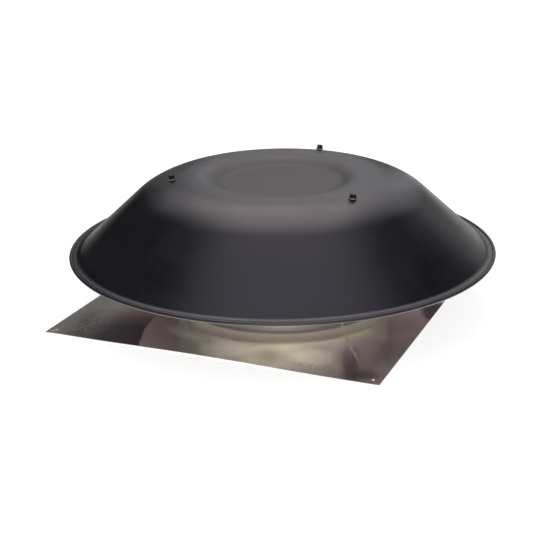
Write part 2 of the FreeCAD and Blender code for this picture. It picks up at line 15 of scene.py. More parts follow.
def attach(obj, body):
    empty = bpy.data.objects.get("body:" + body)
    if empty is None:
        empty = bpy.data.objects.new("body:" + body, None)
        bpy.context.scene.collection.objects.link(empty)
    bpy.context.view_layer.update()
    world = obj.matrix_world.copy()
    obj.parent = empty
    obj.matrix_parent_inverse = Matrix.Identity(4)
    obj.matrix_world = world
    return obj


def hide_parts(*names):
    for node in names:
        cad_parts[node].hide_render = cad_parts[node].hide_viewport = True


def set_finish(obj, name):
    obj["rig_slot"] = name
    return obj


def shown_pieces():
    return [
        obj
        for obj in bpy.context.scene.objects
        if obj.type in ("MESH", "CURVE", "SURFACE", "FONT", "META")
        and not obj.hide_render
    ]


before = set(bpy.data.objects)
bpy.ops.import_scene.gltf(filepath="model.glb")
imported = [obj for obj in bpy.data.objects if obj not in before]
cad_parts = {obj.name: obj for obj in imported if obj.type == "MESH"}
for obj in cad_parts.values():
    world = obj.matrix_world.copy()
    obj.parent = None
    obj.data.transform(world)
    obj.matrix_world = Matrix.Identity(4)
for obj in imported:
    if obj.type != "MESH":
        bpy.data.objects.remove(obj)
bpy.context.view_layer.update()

# %% [markdown]
# ## Sizes
# A sheet metal worker thinks in millimetres and Blender in metres, so every length is written in
# millimetres and multiplied once. Radii are from the vent's axis and heights from the flashing's
# underside, as on a drawing of a turned part. The numbers repeat the CAD model's, so that the finer
# pieces lie where its solids do. A hairline is a gap too fine to see, which keeps two touching
# faces from lying in one plane.

# %% Sizes of the sheets
MM = 0.001
HAIRLINE = 0.02

DOME_GAUGE = 0.8
DISH_FLOOR = 174.1
DISH_EDGE = 83.8
DISH_BROW = 107.4
CREST_TOP = 186.4
SKIRT_HEAD = 177.96
SKIRT_FOOT = 294.4
FLANGE_TOP = 79.7
BEAD_CENTRE = 304.1
BEAD_HEIGHT = 78.5
BEAD_RADIUS = 2.4

FLASHING_GAUGE = 0.8
FLASHING_SIDE = 482.6
FLASHING_SHIFT = Vector((-11.6, -4.8, 0))
COLLAR_OUTER = 153.2
COLLAR_HEIGHT = 100.0
THROAT_RADIUS = 152.4

LEG_AZIMUTHS = [90, 210, 330]
HOOP_AZIMUTHS = [30, 150, 270]

# %% [markdown]
# ## Shared helpers
# Every sheet here was turned on a lathe, so a profile of straight lines with rounded corners is
# spun about the axis. A Screw modifier would turn it too, but the operator leaves a mesh that the
# next steps can go on with. Bevelling a single vertex of a wire profile by radius times the tangent
# of half the turn gives exactly the arc that a forming roller of that radius leaves.

# %% Profile and spin
ARC_STEP = math.radians(3)
MERGE_REACH = 0.005


def round_corner(bm, corner, radius):
    """Rounds one corner of a wire profile to a true radius in millimetres."""
    ways = [(edge.other_vert(corner).co - corner.co).normalized() for edge in corner.link_edges]
    turn = math.pi - ways[0].angle(ways[1])
    bmesh.ops.bevel(
        bm, geom=[corner], offset=radius * MM * math.tan(turn / 2), offset_type="OFFSET",
        segments=max(3, math.ceil(turn / ARC_STEP)), profile=0.5, affect="VERTICES", material=-1)


def draw_profile(bm, corners):
    """Draws corners of radius, height and rounding in the XZ plane. Returns the last vertex."""
    verts = [bm.verts.new((radius * MM, 0, height * MM)) for radius, height, rounding in corners]
    for start, end in zip(verts, verts[1:]):
        bm.edges.new((start, end))
    for vert, (radius, height, rounding) in zip(verts, corners):
        if rounding:
            round_corner(bm, vert, rounding)
    return verts[-1]


def spin_round(bm, steps):
    """Turns everything in the mesh once round the vent's axis."""
    bmesh.ops.spin(
        bm, geom=bm.verts[:] + bm.edges[:], cent=(0, 0, 0), axis=(0, 0, 1),
        angle=2 * math.pi, steps=steps, use_merge=True, use_duplicate=False)
    bmesh.ops.remove_doubles(bm, verts=bm.verts[:], dist=MERGE_REACH * MM)


def face_out(bm, outward):
    """Recalculates the normals, and turns them if the face farthest that way looks back."""
    bmesh.ops.recalc_face_normals(bm, faces=bm.faces[:])
    farthest = max(bm.faces, key=lambda face: face.calc_center_median().dot(outward))
    if farthest.normal.dot(outward) < 0:
        bmesh.ops.reverse_faces(bm, faces=bm.faces[:])


# %% [markdown]
# ## From bmesh to finished piece
# Each finished piece becomes one object at the origin. It rides on the vent's only body, names its
# material slot and hides the CAD nodes it stands for. Faces are smooth, and only real creases and
# the sheared edges of sheets stay sharp.

# %% Finish a piece
CREASE = math.radians(28)


def add_modifier(piece, kind, **settings):
    """Adds a live modifier with its settings."""
    modifier = piece.modifiers.new(kind.title(), kind)
    for name, setting in settings.items():
        setattr(modifier, name, setting)


def finish_piece(bm, name, slot, *nodes, crease=CREASE):
    """Turns a mesh into a finished piece that replaces CAD nodes, and prints its size."""
    mesh = bpy.data.meshes.new(name)
    bm.edges.index_update()
    sheared = [edge.index for edge in bm.edges if edge.is_boundary]
    bm.to_mesh(mesh)
    bm.free()
    mesh.polygons.foreach_set("use_smooth", [True] * len(mesh.polygons))
    mesh.set_sharp_from_angle(angle=crease)
    for index in sheared:
        mesh.edges[index].use_edge_sharp = True
    piece = bpy.data.objects.new(name, mesh)
    bpy.context.scene.collection.objects.link(piece)
    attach(piece, "root")
    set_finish(piece, slot)
    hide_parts(*nodes)
    sizes = [round(side / MM, 1) for side in piece.dimensions]
    print(name, "faces", len(mesh.polygons), "size", sizes, "mm")
    return piece


# %% [markdown]
# ## Dome
# The hood is one aluminium disc spun over a former: a flat dish in the middle, a broad rounded
# crest, a straight skirt and a narrow flange whose edge is rolled into a bead. A subdivided disc
# could be pushed into that shape, but a spun profile keeps every radius true. The bead is wound
# from the profile's last vertex with a short spin, then the whole profile is spun round the axis. A
# narrow groove lies between flange and bead, where the roller folded the edge under. Its floor
# starts and ends at shares of its width from the bead.

# %% Dome
DISH_FILLET = 30.0
DISH_SHOULDER = 61.3
CREST_RADIUS = 107.3
FLARE_RADIUS = 8.0
GROOVE_WIDTH = 1.5
GROOVE_DEPTH = 0.6
GROOVE_FLOOR = (0.8, 0.3)
DOME_CREASE = math.radians(40)
BEAD_START = BEAD_CENTRE - BEAD_RADIUS * math.cos(math.radians(30))
BEAD_TURN = math.radians(300)
BEAD_STEPS = 20
DOME_STEPS = 240

bm = bmesh.new()
edge_vert = draw_profile(bm, [
    (0, DISH_FLOOR, 0),
    (DISH_EDGE, DISH_FLOOR, DISH_FILLET),
    (DISH_BROW, CREST_TOP, DISH_SHOULDER),
    (SKIRT_HEAD, CREST_TOP, CREST_RADIUS),
    (SKIRT_FOOT, FLANGE_TOP, FLARE_RADIUS),
    (BEAD_START - GROOVE_WIDTH, FLANGE_TOP, 0),
    *[(BEAD_START - GROOVE_WIDTH * share, FLANGE_TOP - GROOVE_DEPTH, 0) for share in GROOVE_FLOOR],
    (BEAD_START, FLANGE_TOP, 0),
])
bmesh.ops.spin(
    bm, geom=[edge_vert], cent=(BEAD_CENTRE * MM, 0, BEAD_HEIGHT * MM), axis=(0, 1, 0),
    angle=BEAD_TURN, steps=BEAD_STEPS, use_merge=False, use_duplicate=False)
spin_round(bm, DOME_STEPS)
face_out(bm, Vector((0, 0, 1)))
dome = finish_piece(bm, "dome_shell", "black_painted_dome", "dome", crease=DOME_CREASE)
add_modifier(
    dome, "SOLIDIFY", thickness=DOME_GAUGE * MM, offset=-1, use_even_offset=True, material_offset=1)

# %% [markdown]
# ## Flashing
# The flashing is a square blank whose middle is drawn up into a collar with a turned-in lip. A
# square grid with a hole cut in it would meet the round collar with uneven faces, so the collar is
# spun first. Its outer loop is then extruded and moved out to the square, and one sheet runs from
# lip to edge as on the real one. Rings of edges between the two let the sheet bow later.

# %% Collar
FOOT_FILLET = 12.7
LIP_RADIUS = 147.2
LIP_BEND = 2.6
SHEET_START = 170.0
COLLAR_STEPS = 160

bm = bmesh.new()
draw_profile(bm, [
    (LIP_RADIUS, COLLAR_HEIGHT, 0),
    (COLLAR_OUTER, COLLAR_HEIGHT, LIP_BEND),
    (COLLAR_OUTER, FLASHING_GAUGE, FOOT_FILLET),
    (SHEET_START, FLASHING_GAUGE, 0),
])
spin_round(bm, COLLAR_STEPS)
print("collar of", len(bm.faces), "faces")

# %% Sheet out to the square edge
SHEET_RINGS = 14

low_side = FLASHING_SHIFT - Vector((1, 1, 0)) * FLASHING_SIDE / 2
high_side = FLASHING_SHIFT + Vector((1, 1, 0)) * FLASHING_SIDE / 2


def to_square(point):
    """Moves a point straight out from the axis to the edge of the blank."""
    reach = []
    for axis in (0, 1):
        side = high_side[axis] if point[axis] > 0 else low_side[axis]
        if abs(point[axis]) > HAIRLINE * MM:
            reach.append(side * MM / point[axis])
    return Vector((point.x * min(reach), point.y * min(reach), point.z))


outer_loop = [
    edge for edge in bm.edges
    if edge.is_boundary and edge.verts[0].co.xy.length > COLLAR_OUTER * MM]
extruded = bmesh.ops.extrude_edge_only(bm, edges=outer_loop)
rim_verts = [item for item in extruded["geom"] if isinstance(item, bmesh.types.BMVert)]
radial_edges = [
    edge for edge in bm.edges if (edge.verts[0] in rim_verts) != (edge.verts[1] in rim_verts)]
for vert in rim_verts:
    vert.co = to_square(vert.co)
corners = [Vector((x, y, FLASHING_GAUGE)) * MM
           for x in (low_side.x, high_side.x) for y in (low_side.y, high_side.y)]
for corner in corners:
    nearest = min(rim_verts, key=lambda vert: (vert.co - corner).length)
    nearest.co = corner
bmesh.ops.subdivide_edges(bm, edges=radial_edges, cuts=SHEET_RINGS, use_grid_fill=True)
print("blank", [round(side, 1) for side in (high_side - low_side).xy], "mm")

# %% [markdown]
# ## Nail holes
# A nail hole is punched near each corner. A Boolean would cut it, but it wants closed bodies, and
# this sheet gets its wall only later. So the faces round the hole are taken out, a circle is laid
# in the opening and the ring between them is filled with triangles. The clearing reaches 9
# millimetres, which is too short at three of the corners: it takes the faces on one side of the
# diagonal only, and the fill folds over part of those holes. A reach of 14 would clear them.

# %% Nail holes
HOLE_RADIUS = 1.8
HOLE_INSET = 12.0
HOLE_CLEARING = 9.0
HOLE_STEPS = 24

for corner in corners:
    inward = Vector((-math.copysign(1, corner.x), -math.copysign(1, corner.y), 0))
    middle = corner + inward * HOLE_INSET * MM
    hit = [face for face in bm.faces
           if (face.calc_center_median() - middle).length < HOLE_CLEARING * MM]
    opened = [edge for edge in {edge for face in hit for edge in face.edges}
              if sum(face in hit for face in edge.link_faces) == 1]
    bmesh.ops.delete(bm, geom=hit, context="FACES_ONLY")
    loose_edges = [edge for edge in bm.edges if edge.is_wire and edge not in opened]
    bmesh.ops.delete(bm, geom=loose_edges, context="EDGES")
    loose_verts = [vert for vert in bm.verts if not vert.link_edges]
    bmesh.ops.delete(bm, geom=loose_verts, context="VERTS")
    circle = bmesh.ops.create_circle(
        bm, segments=HOLE_STEPS, radius=HOLE_RADIUS * MM,
        matrix=Matrix.Translation(middle))["verts"]
    ring = list({edge for vert in circle for edge in vert.link_edges})
    bmesh.ops.triangle_fill(bm, edges=opened + ring, use_beauty=True)
    print("nail hole at", [round(place / MM, 1) for place in middle.xy])

# %% [markdown]
# ## Bow of the sheet
# Thin sheet that has been handled is never quite flat. Here the middle of the front edge has lifted
# about two millimetres between the corners, which lie flat. A lattice could bend it, but a formula
# keeps the corners and the collar exactly where they are: each vertex in front of the collar's foot
# rises with its distance out, and less the nearer it is to a corner. Solidify then gives the sheet
# its gauge, downwards from the upper face. The sheet's right edge looks up, so a direction that
# leans up a little tells face_out which side is the upper one.

# %% Bow and wall
FRONT_BOW = 1.8
BOW_REACH = 180.0
SHEET_CREASE = math.radians(50)
RIGHT_AND_UP = Vector((1, 0, 0.001))


def bow(point):
    """How far a point of the sheet has lifted, in millimetres."""
    out = (point.y / MM + SHEET_START) / (low_side.y + SHEET_START)
    along = (point.x / MM - FLASHING_SHIFT.x) / BOW_REACH
    if out <= 0:
        return 0.0
    return FRONT_BOW * out ** 1.5 * max(0.0, 1 - along ** 2) ** 2


for vert in bm.verts:
    vert.co.z += bow(vert.co) * MM
face_out(bm, RIGHT_AND_UP)
flashing = finish_piece(bm, "flashing_sheet", "mill_aluminium", "flashing", crease=SHEET_CREASE)
add_modifier(flashing, "SOLIDIFY", thickness=(FLASHING_GAUGE - HAIRLINE) * MM, offset=-1)
print("front edge lifts", FRONT_BOW, "mm")

# %% [markdown]
# ## Screen hoop
# The hoop is a strip of aluminium rolled to the throat and flanged inwards at its foot, where it
# carries the screen. A strip bent round by a modifier would leave a joint to close, so it is turned
# from a bent profile like the collar.

# %% Screen hoop
HOOP_GAUGE = 1.2
HOOP_FOOT = 72.8
HOOP_TOP = 89.8
SHELF_RADIUS = 141.4
HOOP_BEND = 2.0

bm = bmesh.new()
draw_profile(bm, [
    (THROAT_RADIUS - HAIRLINE, HOOP_TOP, 0),
    (THROAT_RADIUS - HAIRLINE, HOOP_FOOT, HOOP_BEND),
    (SHELF_RADIUS, HOOP_FOOT, 0),
])
spin_round(bm, COLLAR_STEPS)
face_out(bm, Vector((1, 0, 0)))
hoop = finish_piece(bm, "screen_hoop_band", "mill_aluminium", "screen_hoop")
add_modifier(hoop, "SOLIDIFY", thickness=HOOP_GAUGE * MM, offset=-1, use_even_offset=True)

# %% [markdown]
# ## Bird screen
# Half inch hardware cloth: galvanised wires in two crossed layers, welded where they touch. An
# Array modifier would repeat one length of wire, but each is cut to its own chord of the round
# throat. So each is a long eight-sided rod, laid down by its matrix.

# %% Bird screen
WIRE_SIZE = 1.0
WIRE_PITCH = 12.7
SCREEN_RADIUS = 149.6
SCREEN_HEIGHT = 74.0
WIRE_SIDES = 8
CORNER = math.radians(60)

half_count = int(SCREEN_RADIUS / WIRE_PITCH)
bm = bmesh.new()
for layer, quarter_turns in ((0, 0), (1, 1)):
    height = SCREEN_HEIGHT + WIRE_SIZE * (layer + 0.5)
    for step in range(-half_count, half_count + 1):
        offset = step * WIRE_PITCH
        length = 2 * math.sqrt(SCREEN_RADIUS ** 2 - offset ** 2)
        place = (Matrix.Rotation(quarter_turns * math.pi / 2, 4, "Z")
                 @ Matrix.Translation((0, offset * MM, height * MM))
                 @ Matrix.Rotation(math.pi / 2, 4, "Y"))
        bmesh.ops.create_cone(
            bm, cap_ends=True, segments=WIRE_SIDES, radius1=WIRE_SIZE / 2 * MM,
            radius2=WIRE_SIZE / 2 * MM, depth=length * MM, matrix=place)
print(2 * (2 * half_count + 1), "wires")
finish_piece(bm, "bird_screen_wires", "galvanised_wire", "bird_screen", crease=CORNER)

# %% [markdown]
# ## Places of the screws
# The three screws stand square to the crest. Building each one tilted would take awkward sums at
# every step, so each is made upright at the origin and then carried to its seat by one matrix: out
# along its azimuth and tilted with the sheet.

# %% Places on the crest
SCREW_OFFSET = 19.1
SKIRT_SLOPE = math.radians(42.5)
PLACE_NAMES = {90: "back", 210: "left", 330: "right"}

screw_tilt = math.asin(SCREW_OFFSET / CREST_RADIUS)
crest_outer = SKIRT_HEAD - CREST_RADIUS * math.tan(SKIRT_SLOPE / 2)
screw_radius = crest_outer + SCREW_OFFSET
screw_seat = CREST_TOP - CREST_RADIUS * (1 - math.cos(screw_tilt))
print("screws at radius", round(screw_radius, 2), "tilt", round(math.degrees(screw_tilt), 2))


def at_height(height):
    """A point on the vent's axis, from a height in millimetres."""
    return Vector((0, 0, height * MM))


def on_crest(azimuth):
    """The matrix that carries an upright fastener to its seat on the crest."""
    return (Matrix.Rotation(math.radians(azimuth), 4, "Z")
            @ Matrix.Translation((screw_radius * MM, 0, screw_seat * MM))
            @ Matrix.Rotation(screw_tilt, 4, "Y"))


# %% [markdown]
# ## Screws
# A hex head with its washer face is forged, its corners turned off and its thread rolled. The hex
# is a six-sided cone with equal ends. A bevel would cut the flats as deep as the corners, so planes
# tilted at the chamfer's angle shave the corners as a lathe does. The thread is a small triangle
# spun up the shank along a helix. The triangle's foot lies a little inside the shank, so that the
# two melt into one.

# %% Screws
WASHER_GAUGE = 1.6
HEAD_FLANGE_RADIUS = 5.2
HEAD_FLANGE_GAUGE = 0.9
HEAD_FLANGE_TAPER = 0.35
HEAD_FLATS = 8.0
HEAD_HEIGHT = 4.6
CHAMFER_TILT = math.radians(30)
CHAMFER_RADIUS = 3.8
CHAMFER_CUTS = 24
SHANK_RADIUS = 1.95
SHANK_TIP_RADIUS = SHANK_RADIUS * 0.8
SHANK_TIP = 1.0
THREAD_RADIUS = 2.4
THREAD_ROOT = SHANK_RADIUS * 0.9
THREAD_PITCH = 0.8
THREAD_WIDTH = THREAD_PITCH * 0.9
THREAD_LENGTH = 10.4
THREAD_STEPS = 16


def make_head(bm):
    """An upright hex head with its washer face, above a sealing washer's height."""
    foot = WASHER_GAUGE + HEAD_FLANGE_GAUGE
    corner = HEAD_FLATS / 2 / math.cos(math.pi / 6)
    bmesh.ops.create_cone(
        bm, cap_ends=True, segments=6, radius1=corner * MM, radius2=corner * MM,
        depth=HEAD_HEIGHT * MM, matrix=Matrix.Translation(at_height(foot + HEAD_HEIGHT / 2)))
    top = at_height(foot + HEAD_HEIGHT)
    for cut in range(CHAMFER_CUTS):
        turn = 2 * math.pi * cut / CHAMFER_CUTS
        out = Vector((math.cos(turn), math.sin(turn), 0))
        slope = out * math.sin(CHAMFER_TILT) + Vector((0, 0, 1)) * math.cos(CHAMFER_TILT)
        shaved = bmesh.ops.bisect_plane(
            bm, geom=bm.verts[:] + bm.edges[:] + bm.faces[:],
            plane_co=top + out * CHAMFER_RADIUS * MM, plane_no=slope, clear_outer=True)
        rim = [item for item in shaved["geom_cut"] if isinstance(item, bmesh.types.BMEdge)]
        if rim:
            bmesh.ops.holes_fill(bm, edges=rim)
    bmesh.ops.create_cone(
        bm, cap_ends=True, segments=32, radius1=HEAD_FLANGE_RADIUS * MM,
        radius2=(HEAD_FLANGE_RADIUS - HEAD_FLANGE_TAPER) * MM, depth=HEAD_FLANGE_GAUGE * MM,
        matrix=Matrix.Translation(at_height(WASHER_GAUGE + HEAD_FLANGE_GAUGE / 2)))


def make_thread(bm):
    """A tapered shank below the head, with a thread wound round it."""
    shank_length = THREAD_LENGTH + SHANK_TIP
    bmesh.ops.create_cone(
        bm, cap_ends=True, segments=16, radius1=SHANK_TIP_RADIUS * MM, radius2=SHANK_RADIUS * MM,
        depth=shank_length * MM,
        matrix=Matrix.Translation(at_height(WASHER_GAUGE - shank_length / 2)))
    foot = WASHER_GAUGE - THREAD_LENGTH
    section = (THREAD_ROOT, 0), (THREAD_RADIUS, THREAD_PITCH / 2), (THREAD_ROOT, THREAD_WIDTH)
    ridge = [bm.verts.new((radius * MM, 0, (foot + rise) * MM)) for radius, rise in section]
    face = bm.faces.new(ridge)
    turns = int((THREAD_LENGTH - SHANK_TIP) / THREAD_PITCH)
    bmesh.ops.spin(
        bm, geom=[face], cent=(0, 0, 0), axis=(0, 0, 1),
        dvec=(0, 0, THREAD_PITCH * MM / THREAD_STEPS), angle=2 * math.pi * turns,
        steps=THREAD_STEPS * turns, use_merge=False, use_duplicate=False)


for azimuth in LEG_AZIMUTHS:
    bm = bmesh.new()
    make_head(bm)
    make_thread(bm)
    bmesh.ops.recalc_face_normals(bm, faces=bm.faces[:])
    bmesh.ops.transform(bm, matrix=on_crest(azimuth), verts=bm.verts[:])
    place = PLACE_NAMES[azimuth]
    finish_piece(bm, "hex_screw_" + place, "black_screw", "dome_screw_" + place)

# %% [markdown]
# ## Sealing washers
# A rubber washer under each head bulges slightly where the screw squeezes it. A torus would be too
# round, so a disc is bevelled all round. Its middle is left solid because the screw fills it.

# %% Sealing washers
WASHER_RADIUS = 5.7
WASHER_ROUNDING = 0.5

for azimuth in LEG_AZIMUTHS:
    bm = bmesh.new()
    bmesh.ops.create_cone(
        bm, cap_ends=True, segments=40, radius1=WASHER_RADIUS * MM, radius2=WASHER_RADIUS * MM,
        depth=WASHER_GAUGE * MM, matrix=Matrix.Translation(at_height(WASHER_GAUGE / 2)))
    rims = [edge for edge in bm.edges if edge.calc_face_angle() > CORNER]
    bmesh.ops.bevel(
        bm, geom=rims, offset=WASHER_ROUNDING * MM, segments=3, profile=0.5, affect="EDGES",
        material=-1)
    bmesh.ops.transform(bm, matrix=on_crest(azimuth), verts=bm.verts[:])
    place = PLACE_NAMES[azimuth]
    finish_piece(bm, "rubber_washer_" + place, "washer_rubber", "sealing_washer_" + place)

# %% [markdown]
# ## Rivets
# Solid aluminium rivets hold the straps and the hoop to the collar. The factory head is a low dome,
# so half a sphere is flattened. The set end is a drum whose edge is bevelled, as a squeezer leaves
# it. Linked copies of one rivet would do for a render, but a CAD node stands for three of them, so
# three go into one mesh.

# %% Rivets
RIVET_RADIUS = 2.0
RIVET_HEAD_RADIUS = 4.0
RIVET_HEAD_HEIGHT = 1.6
RIVET_TAIL_RADIUS = 3.0
RIVET_TAIL_HEIGHT = 2.4
RIVET_TAIL_ROUNDING = 0.5
LOWER_RIVETS = 48.0
UPPER_RIVETS = 84.0
LEG_GAUGE = 1.6
RIVET_SLACK = 0.1


def make_rivet(bm, azimuth, height, seat, grip):
    """A rivet whose head stands on a radius, with the sheets it grips behind it."""
    ball = bmesh.ops.create_uvsphere(
        bm, u_segments=24, v_segments=12, radius=RIVET_HEAD_RADIUS * MM)["verts"]
    lower_half = [vert for vert in ball if vert.co.z < -HAIRLINE * MM]
    bmesh.ops.delete(bm, geom=lower_half, context="VERTS")
    head = [vert for vert in ball if vert.is_valid]
    bmesh.ops.scale(bm, vec=(1, 1, RIVET_HEAD_HEIGHT / RIVET_HEAD_RADIUS), verts=head)
    bmesh.ops.holes_fill(bm, edges=[edge for edge in bm.edges if edge.is_boundary])
    depth = grip + RIVET_SLACK
    shank = bmesh.ops.create_cone(
        bm, cap_ends=True, segments=20, radius1=RIVET_RADIUS * MM, radius2=RIVET_RADIUS * MM,
        depth=depth * MM, matrix=Matrix.Translation(at_height(-depth / 2)))["verts"]
    tail = bmesh.ops.create_cone(
        bm, cap_ends=True, segments=24, radius1=RIVET_TAIL_RADIUS * MM,
        radius2=RIVET_TAIL_RADIUS * MM, depth=RIVET_TAIL_HEIGHT * MM,
        matrix=Matrix.Translation(at_height(-depth - RIVET_TAIL_HEIGHT / 2)))["verts"]
    end_rim = [edge for edge in {edge for vert in tail for edge in vert.link_edges}
               if edge.calc_face_angle() > CORNER]
    rounded = bmesh.ops.bevel(
        bm, geom=end_rim, offset=RIVET_TAIL_ROUNDING * MM, segments=3, profile=0.5, affect="EDGES",
        material=-1)
    place = (Matrix.Rotation(math.radians(azimuth), 4, "Z")
             @ Matrix.Translation((seat * MM, 0, height * MM))
             @ Matrix.Rotation(math.pi / 2, 4, "Y"))
    moved = {vert for vert in head + shank + tail + rounded["verts"] if vert.is_valid}
    bmesh.ops.transform(bm, matrix=place, verts=list(moved))


def make_rivets(name, node, azimuths, height, seat, grip):
    """One piece of the rivets at a height, one at each azimuth."""
    bm = bmesh.new()
    for azimuth in azimuths:
        make_rivet(bm, azimuth, height, seat, grip)
    bmesh.ops.recalc_face_normals(bm, faces=bm.faces[:])
    finish_piece(bm, name, "rivet_aluminium", node)


leg_seat = COLLAR_OUTER + LEG_GAUGE
strap_grip = LEG_GAUGE + FLASHING_GAUGE
make_rivets(
    "rivets_low_on_straps", "lower_leg_rivets", LEG_AZIMUTHS, LOWER_RIVETS, leg_seat, strap_grip)
make_rivets(
    "rivets_high_on_straps", "upper_leg_rivets", LEG_AZIMUTHS, UPPER_RIVETS, leg_seat,
    strap_grip + HOOP_GAUGE)
make_rivets(
    "rivets_of_hoop", "hoop_rivets", HOOP_AZIMUTHS, UPPER_RIVETS, COLLAR_OUTER,
    FLASHING_GAUGE + HOOP_GAUGE)

# %% [markdown]
# ## Materials
# Colours are written as the hex values a paint or metal sample would have in a photograph, and one
# function turns them into the linear values that a renderer adds up. Another adds a node with its
# settings, links and, on a colour ramp, stops. Every pattern is sized from a real length: a
# texture's scale is one over the size of its marks in metres.

# %% Colour and node helpers


def colour(hex_code):
    """An sRGB hex colour as linear RGBA."""
    parts = [int(hex_code[place:place + 2], 16) / 255 for place in (1, 3, 5)]
    linear = [
        part / 12.92 if part <= 0.04045 else ((part + 0.055) / 1.055) ** 2.4 for part in parts]
    return (*linear, 1.0)


def per_mm(size):
    """The texture scale at which one mark is this many millimetres across."""
    return 1 / (size * MM)


def add_node(material, kind, sockets=None, stops=None, **settings):
    """Adds a node. A socket takes a plain value or another node's output, a stop a hex colour."""
    tree = material.node_tree
    node = tree.nodes.new(kind)
    for name, setting in settings.items():
        setattr(node, name, setting)
    for name, source in (sockets or {}).items():
        if isinstance(source, bpy.types.NodeSocket):
            tree.links.new(source, node.inputs[name])
        else:
            node.inputs[name].default_value = source
    for index, (position, hex_code) in enumerate((stops or {}).items()):
        node.color_ramp.elements[index].position = position
        node.color_ramp.elements[index].color = colour(hex_code)
    return node


def new_material(name, sockets):
    """A material with its Principled shader's plain values set."""
    material = bpy.data.materials.new(name)
    material.use_nodes = True
    shader = material.node_tree.nodes["Principled BSDF"]
    for socket, setting in sockets.items():
        shader.inputs[socket].default_value = setting
    return material, shader


def plug_in(material, shader, sources):
    """Links outputs to the shader's sockets, and prints how many nodes the material has."""
    for socket, source in sources.items():
        material.node_tree.links.new(source, shader.inputs[socket])
    print(material.name, "has", len(material.node_tree.nodes), "nodes")


# %% [markdown]
# ## Black baked paint
# The hood is powder coated in black. Seen close, the coat has a faint orange peel, and it copies
# the shallow rings that the spinning roller left in the sheet. Dust dulls it in soft patches and
# lies thickest in the dish, where no rain runs off. The curl under the bead keeps its gloss. The
# lowest millimetre of the bead is painted pale, a painted highlight that draws the thin light line
# under the rim. An image would need the hood cut open and laid flat. A wave and a noise
# texture on Object coordinates need no seam, and the wave's rings run round the axis.

# %% Black baked paint
PEEL_SIZE = 1.6
RING_SPACING = 5.0
WAVES_PER_SCALE = 20
DUST_PATCH = 45.0
DUST_RADIUS = 98.0
DUST_FADE = 12.0
DUSTY_ROUGHNESS = 0.5
UNDER_BEAD = 78.0
CURL_ROUGHNESS = 0.15
# Below this height the bead is painted pale, as a painted highlight.
HIGHLIGHT_BELOW = 77.8
HIGHLIGHT_FADE = 0.3

paint, shader = new_material(
    "black_baked_paint", {"Specular IOR Level": 0.6, "Specular Tint": colour("#f0ecff")})
place = add_node(paint, "ShaderNodeTexCoord").outputs["Object"]
patches = add_node(paint, "ShaderNodeTexNoise", {
    "Vector": place, "Scale": per_mm(DUST_PATCH), "Detail": 5.0, "Roughness": 0.6}).outputs["Fac"]
tint = add_node(paint, "ShaderNodeValToRGB", {"Fac": patches}, {0.35: "#06070e", 0.75: "#0d0e17"})
gloss = add_node(paint, "ShaderNodeMapRange", {
    "Value": patches, "From Min": 0.3, "From Max": 0.75,
    "To Min": 0.33, "To Max": 0.42}).outputs["Result"]
peel = add_node(paint, "ShaderNodeTexNoise", {
    "Vector": place, "Scale": per_mm(PEEL_SIZE), "Detail": 1.0}).outputs["Fac"]
height = add_node(paint, "ShaderNodeSeparateXYZ", {"Vector": place}).outputs["Z"]
off_centre = add_node(
    paint, "ShaderNodeMapping", {"Vector": place, "Scale": (1, 1, 0)}).outputs["Vector"]
radius = add_node(
    paint, "ShaderNodeVectorMath", {"Vector": off_centre}, operation="LENGTH").outputs["Value"]
dust = add_node(paint, "ShaderNodeMapRange", {
    "Value": radius, "From Min": (DUST_RADIUS + DUST_FADE) * MM,
    "From Max": DUST_RADIUS * MM}).outputs["Result"]
dusty = add_node(paint, "ShaderNodeMapRange", {
    "Value": dust, "To Min": gloss, "To Max": DUSTY_ROUGHNESS}).outputs["Result"]
turned_under = add_node(paint, "ShaderNodeMapRange", {
    "Value": height, "From Min": UNDER_BEAD * MM, "From Max": FLANGE_TOP * MM,
    "To Min": CURL_ROUGHNESS, "To Max": dusty}).outputs["Result"]
rings = add_node(paint, "ShaderNodeTexWave", {
    "Vector": place, "Scale": per_mm(RING_SPACING) / WAVES_PER_SCALE, "Distortion": 1.2,
    "Detail": 2.0}, wave_type="RINGS", rings_direction="Z").outputs["Fac"]
ring_bump = add_node(paint, "ShaderNodeBump", {
    "Height": rings, "Strength": 0.10, "Distance": 0.1 * MM})
peel_bump = add_node(paint, "ShaderNodeBump", {
    "Height": peel, "Strength": 0.10, "Distance": 0.05 * MM, "Normal": ring_bump.outputs["Normal"]})
# The lowest millimetre of the bead is painted pale: a painted highlight for the light line under
# the rim.
painted_underside_highlight = add_node(paint, "ShaderNodeMapRange", {
    "Value": height, "From Min": HIGHLIGHT_BELOW * MM,
    "From Max": (HIGHLIGHT_BELOW - HIGHLIGHT_FADE) * MM}).outputs["Result"]
dusted = add_node(paint, "ShaderNodeMixRGB", {
    "Fac": dust, "Color1": tint.outputs["Color"], "Color2": colour("#2b2726")})
coat = add_node(paint, "ShaderNodeMixRGB", {
    "Fac": painted_underside_highlight, "Color1": dusted.outputs["Color"], "Color2": colour("#a3a19d")})
plug_in(paint, shader, {
    "Base Color": coat.outputs["Color"], "Roughness": turned_under,
    "Normal": peel_bump.outputs["Normal"]})
